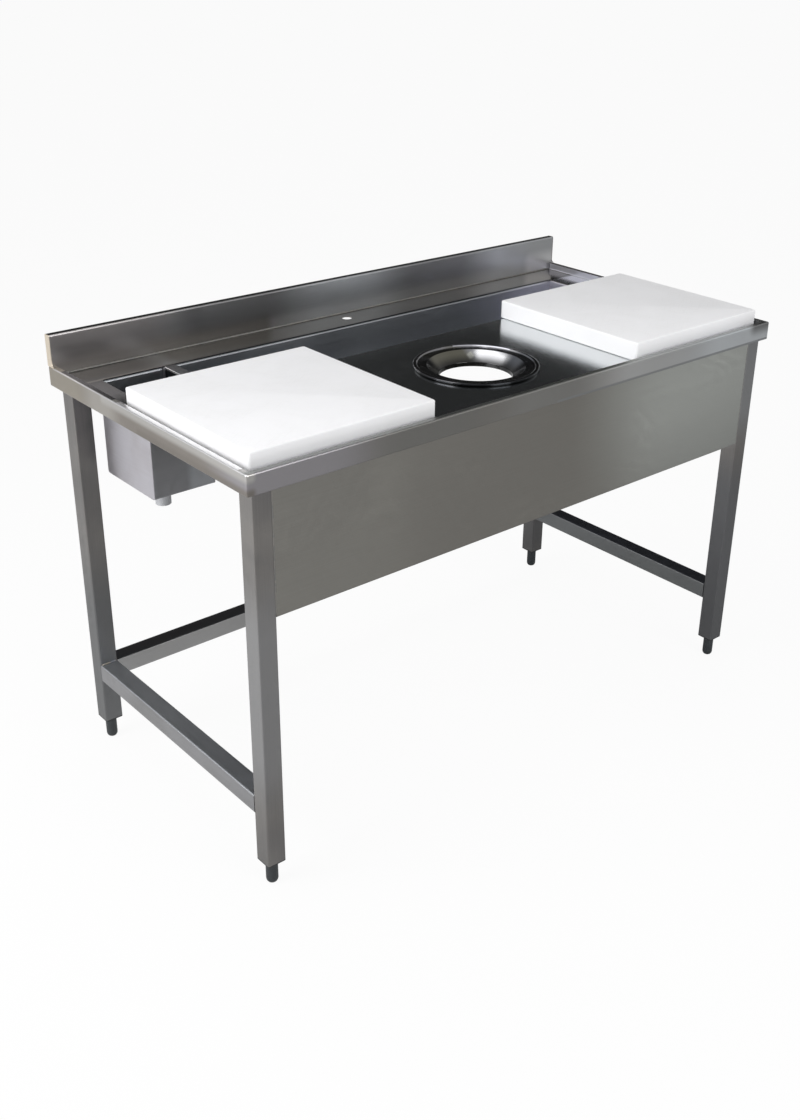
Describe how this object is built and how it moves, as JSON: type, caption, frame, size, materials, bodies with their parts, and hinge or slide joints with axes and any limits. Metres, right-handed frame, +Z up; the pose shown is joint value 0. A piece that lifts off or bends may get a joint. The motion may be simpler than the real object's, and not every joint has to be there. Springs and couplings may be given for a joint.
{
  "type": "fish cleaning table",
  "caption": "Steel worktop on square legs with a rear upstand, a long trough with a sump, a round waste chute, a deep apron and loose white cutting boards.",
  "frame": {"origin": "on the floor, under the middle of the table's bounding box", "axes": "+X to the user's right along the table, +Y from the front edge to the upstand, +Z up"},
  "size_m": [1.4, 0.7, 0.932],
  "materials": {
    "polished_steel": "smooth cold-rolled stainless sheet, near mirror, with fine wiping marks",
    "brushed_steel": "satin stainless sheet with a fine lengthwise grain",
    "trough_steel": "satin stainless sheet, slightly bluish in the shade",
    "frame_steel": "ground square tube with the grain along its length",
    "spun_steel": "polished spun stainless ring",
    "bolt_steel": "plain turned stainless",
    "board_plastic": "white cutting-board polyethylene, planed and lightly knife-marked",
    "foot_plastic": "dark slate moulded nylon",
    "plug_plastic": "black moulded plug",
    "pipe_plastic": "light grey waste-pipe plastic",
    "seal_rubber": "black rubber seal"
  },
  "bodies": {
    "root": {"worktop": "polished_steel", "upstand": "brushed_steel", "upstand_end_left": "brushed_steel", "upstand_end_right": "brushed_steel", "trough_channel": "trough_steel", "sump_body": "trough_steel", "sump_wall": "trough_steel", "trough_end_left": "trough_steel", "trough_end_right": "trough_steel", "strainer_guide_front": "trough_steel", "strainer_guide_rear": "trough_steel", "waste_strainer": "polished_steel", "waste_screw": "bolt_steel", "waste_washer": "seal_rubber", "waste_nut": "pipe_plastic", "waste_tailpiece": "pipe_plastic", "chute_ring": "spun_steel", "chute_gasket": "seal_rubber", "side_channel_left": "frame_steel", "cross_channel_left": "frame_steel", "lower_rail_left": "frame_steel", "side_channel_right": "frame_steel", "cross_channel_right": "frame_steel", "lower_rail_right": "frame_steel", "front_channel": "frame_steel", "lower_rail_rear": "frame_steel", "apron": "brushed_steel", "leg_front_left": "frame_steel", "leg_plug_front_left": "plug_plastic", "leg_front_right": "frame_steel", "leg_plug_front_right": "plug_plastic", "leg_rear_left": "frame_steel", "leg_plug_rear_left": "plug_plastic", "leg_rear_right": "frame_steel", "leg_plug_rear_right": "plug_plastic"},
    "board_left": {"cutting_board_left": "board_plastic"},
    "board_right": {"cutting_board_right": "board_plastic"},
    "strainer": {"strainer_plate": "polished_steel"},
    "foot_unit_front_left": {"foot_front_left": "foot_plastic", "foot_stem_front_left": "bolt_steel"},
    "foot_unit_front_right": {"foot_front_right": "foot_plastic", "foot_stem_front_right": "bolt_steel"},
    "foot_unit_rear_left": {"foot_rear_left": "foot_plastic", "foot_stem_rear_left": "bolt_steel"},
    "foot_unit_rear_right": {"foot_rear_right": "foot_plastic", "foot_stem_rear_right": "bolt_steel"}
  },
  "joints": [
    {"name": "board_left_lift", "type": "slide", "parent": "root", "child": "board_left", "axis": [0, 0, 1], "range_m": [0, 0.12]},
    {"name": "board_right_lift", "type": "slide", "parent": "root", "child": "board_right", "axis": [0, 0, 1], "range_m": [0, 0.12]},
    {"name": "strainer_lift", "type": "slide", "parent": "root", "child": "strainer", "axis": [0, 0, 1], "range_m": [0, 0.11]},
    {"name": "foot_front_left_adjust", "type": "slide", "parent": "root", "child": "foot_unit_front_left", "axis": [0, 0, -1], "range_m": [0, 0.03]},
    {"name": "foot_front_right_adjust", "type": "slide", "parent": "root", "child": "foot_unit_front_right", "axis": [0, 0, -1], "range_m": [0, 0.03]},
    {"name": "foot_rear_left_adjust", "type": "slide", "parent": "root", "child": "foot_unit_rear_left", "axis": [0, 0, -1], "range_m": [0, 0.03]},
    {"name": "foot_rear_right_adjust", "type": "slide", "parent": "root", "child": "foot_unit_rear_right", "axis": [0, 0, -1], "range_m": [0, 0.03]}
  ]
}
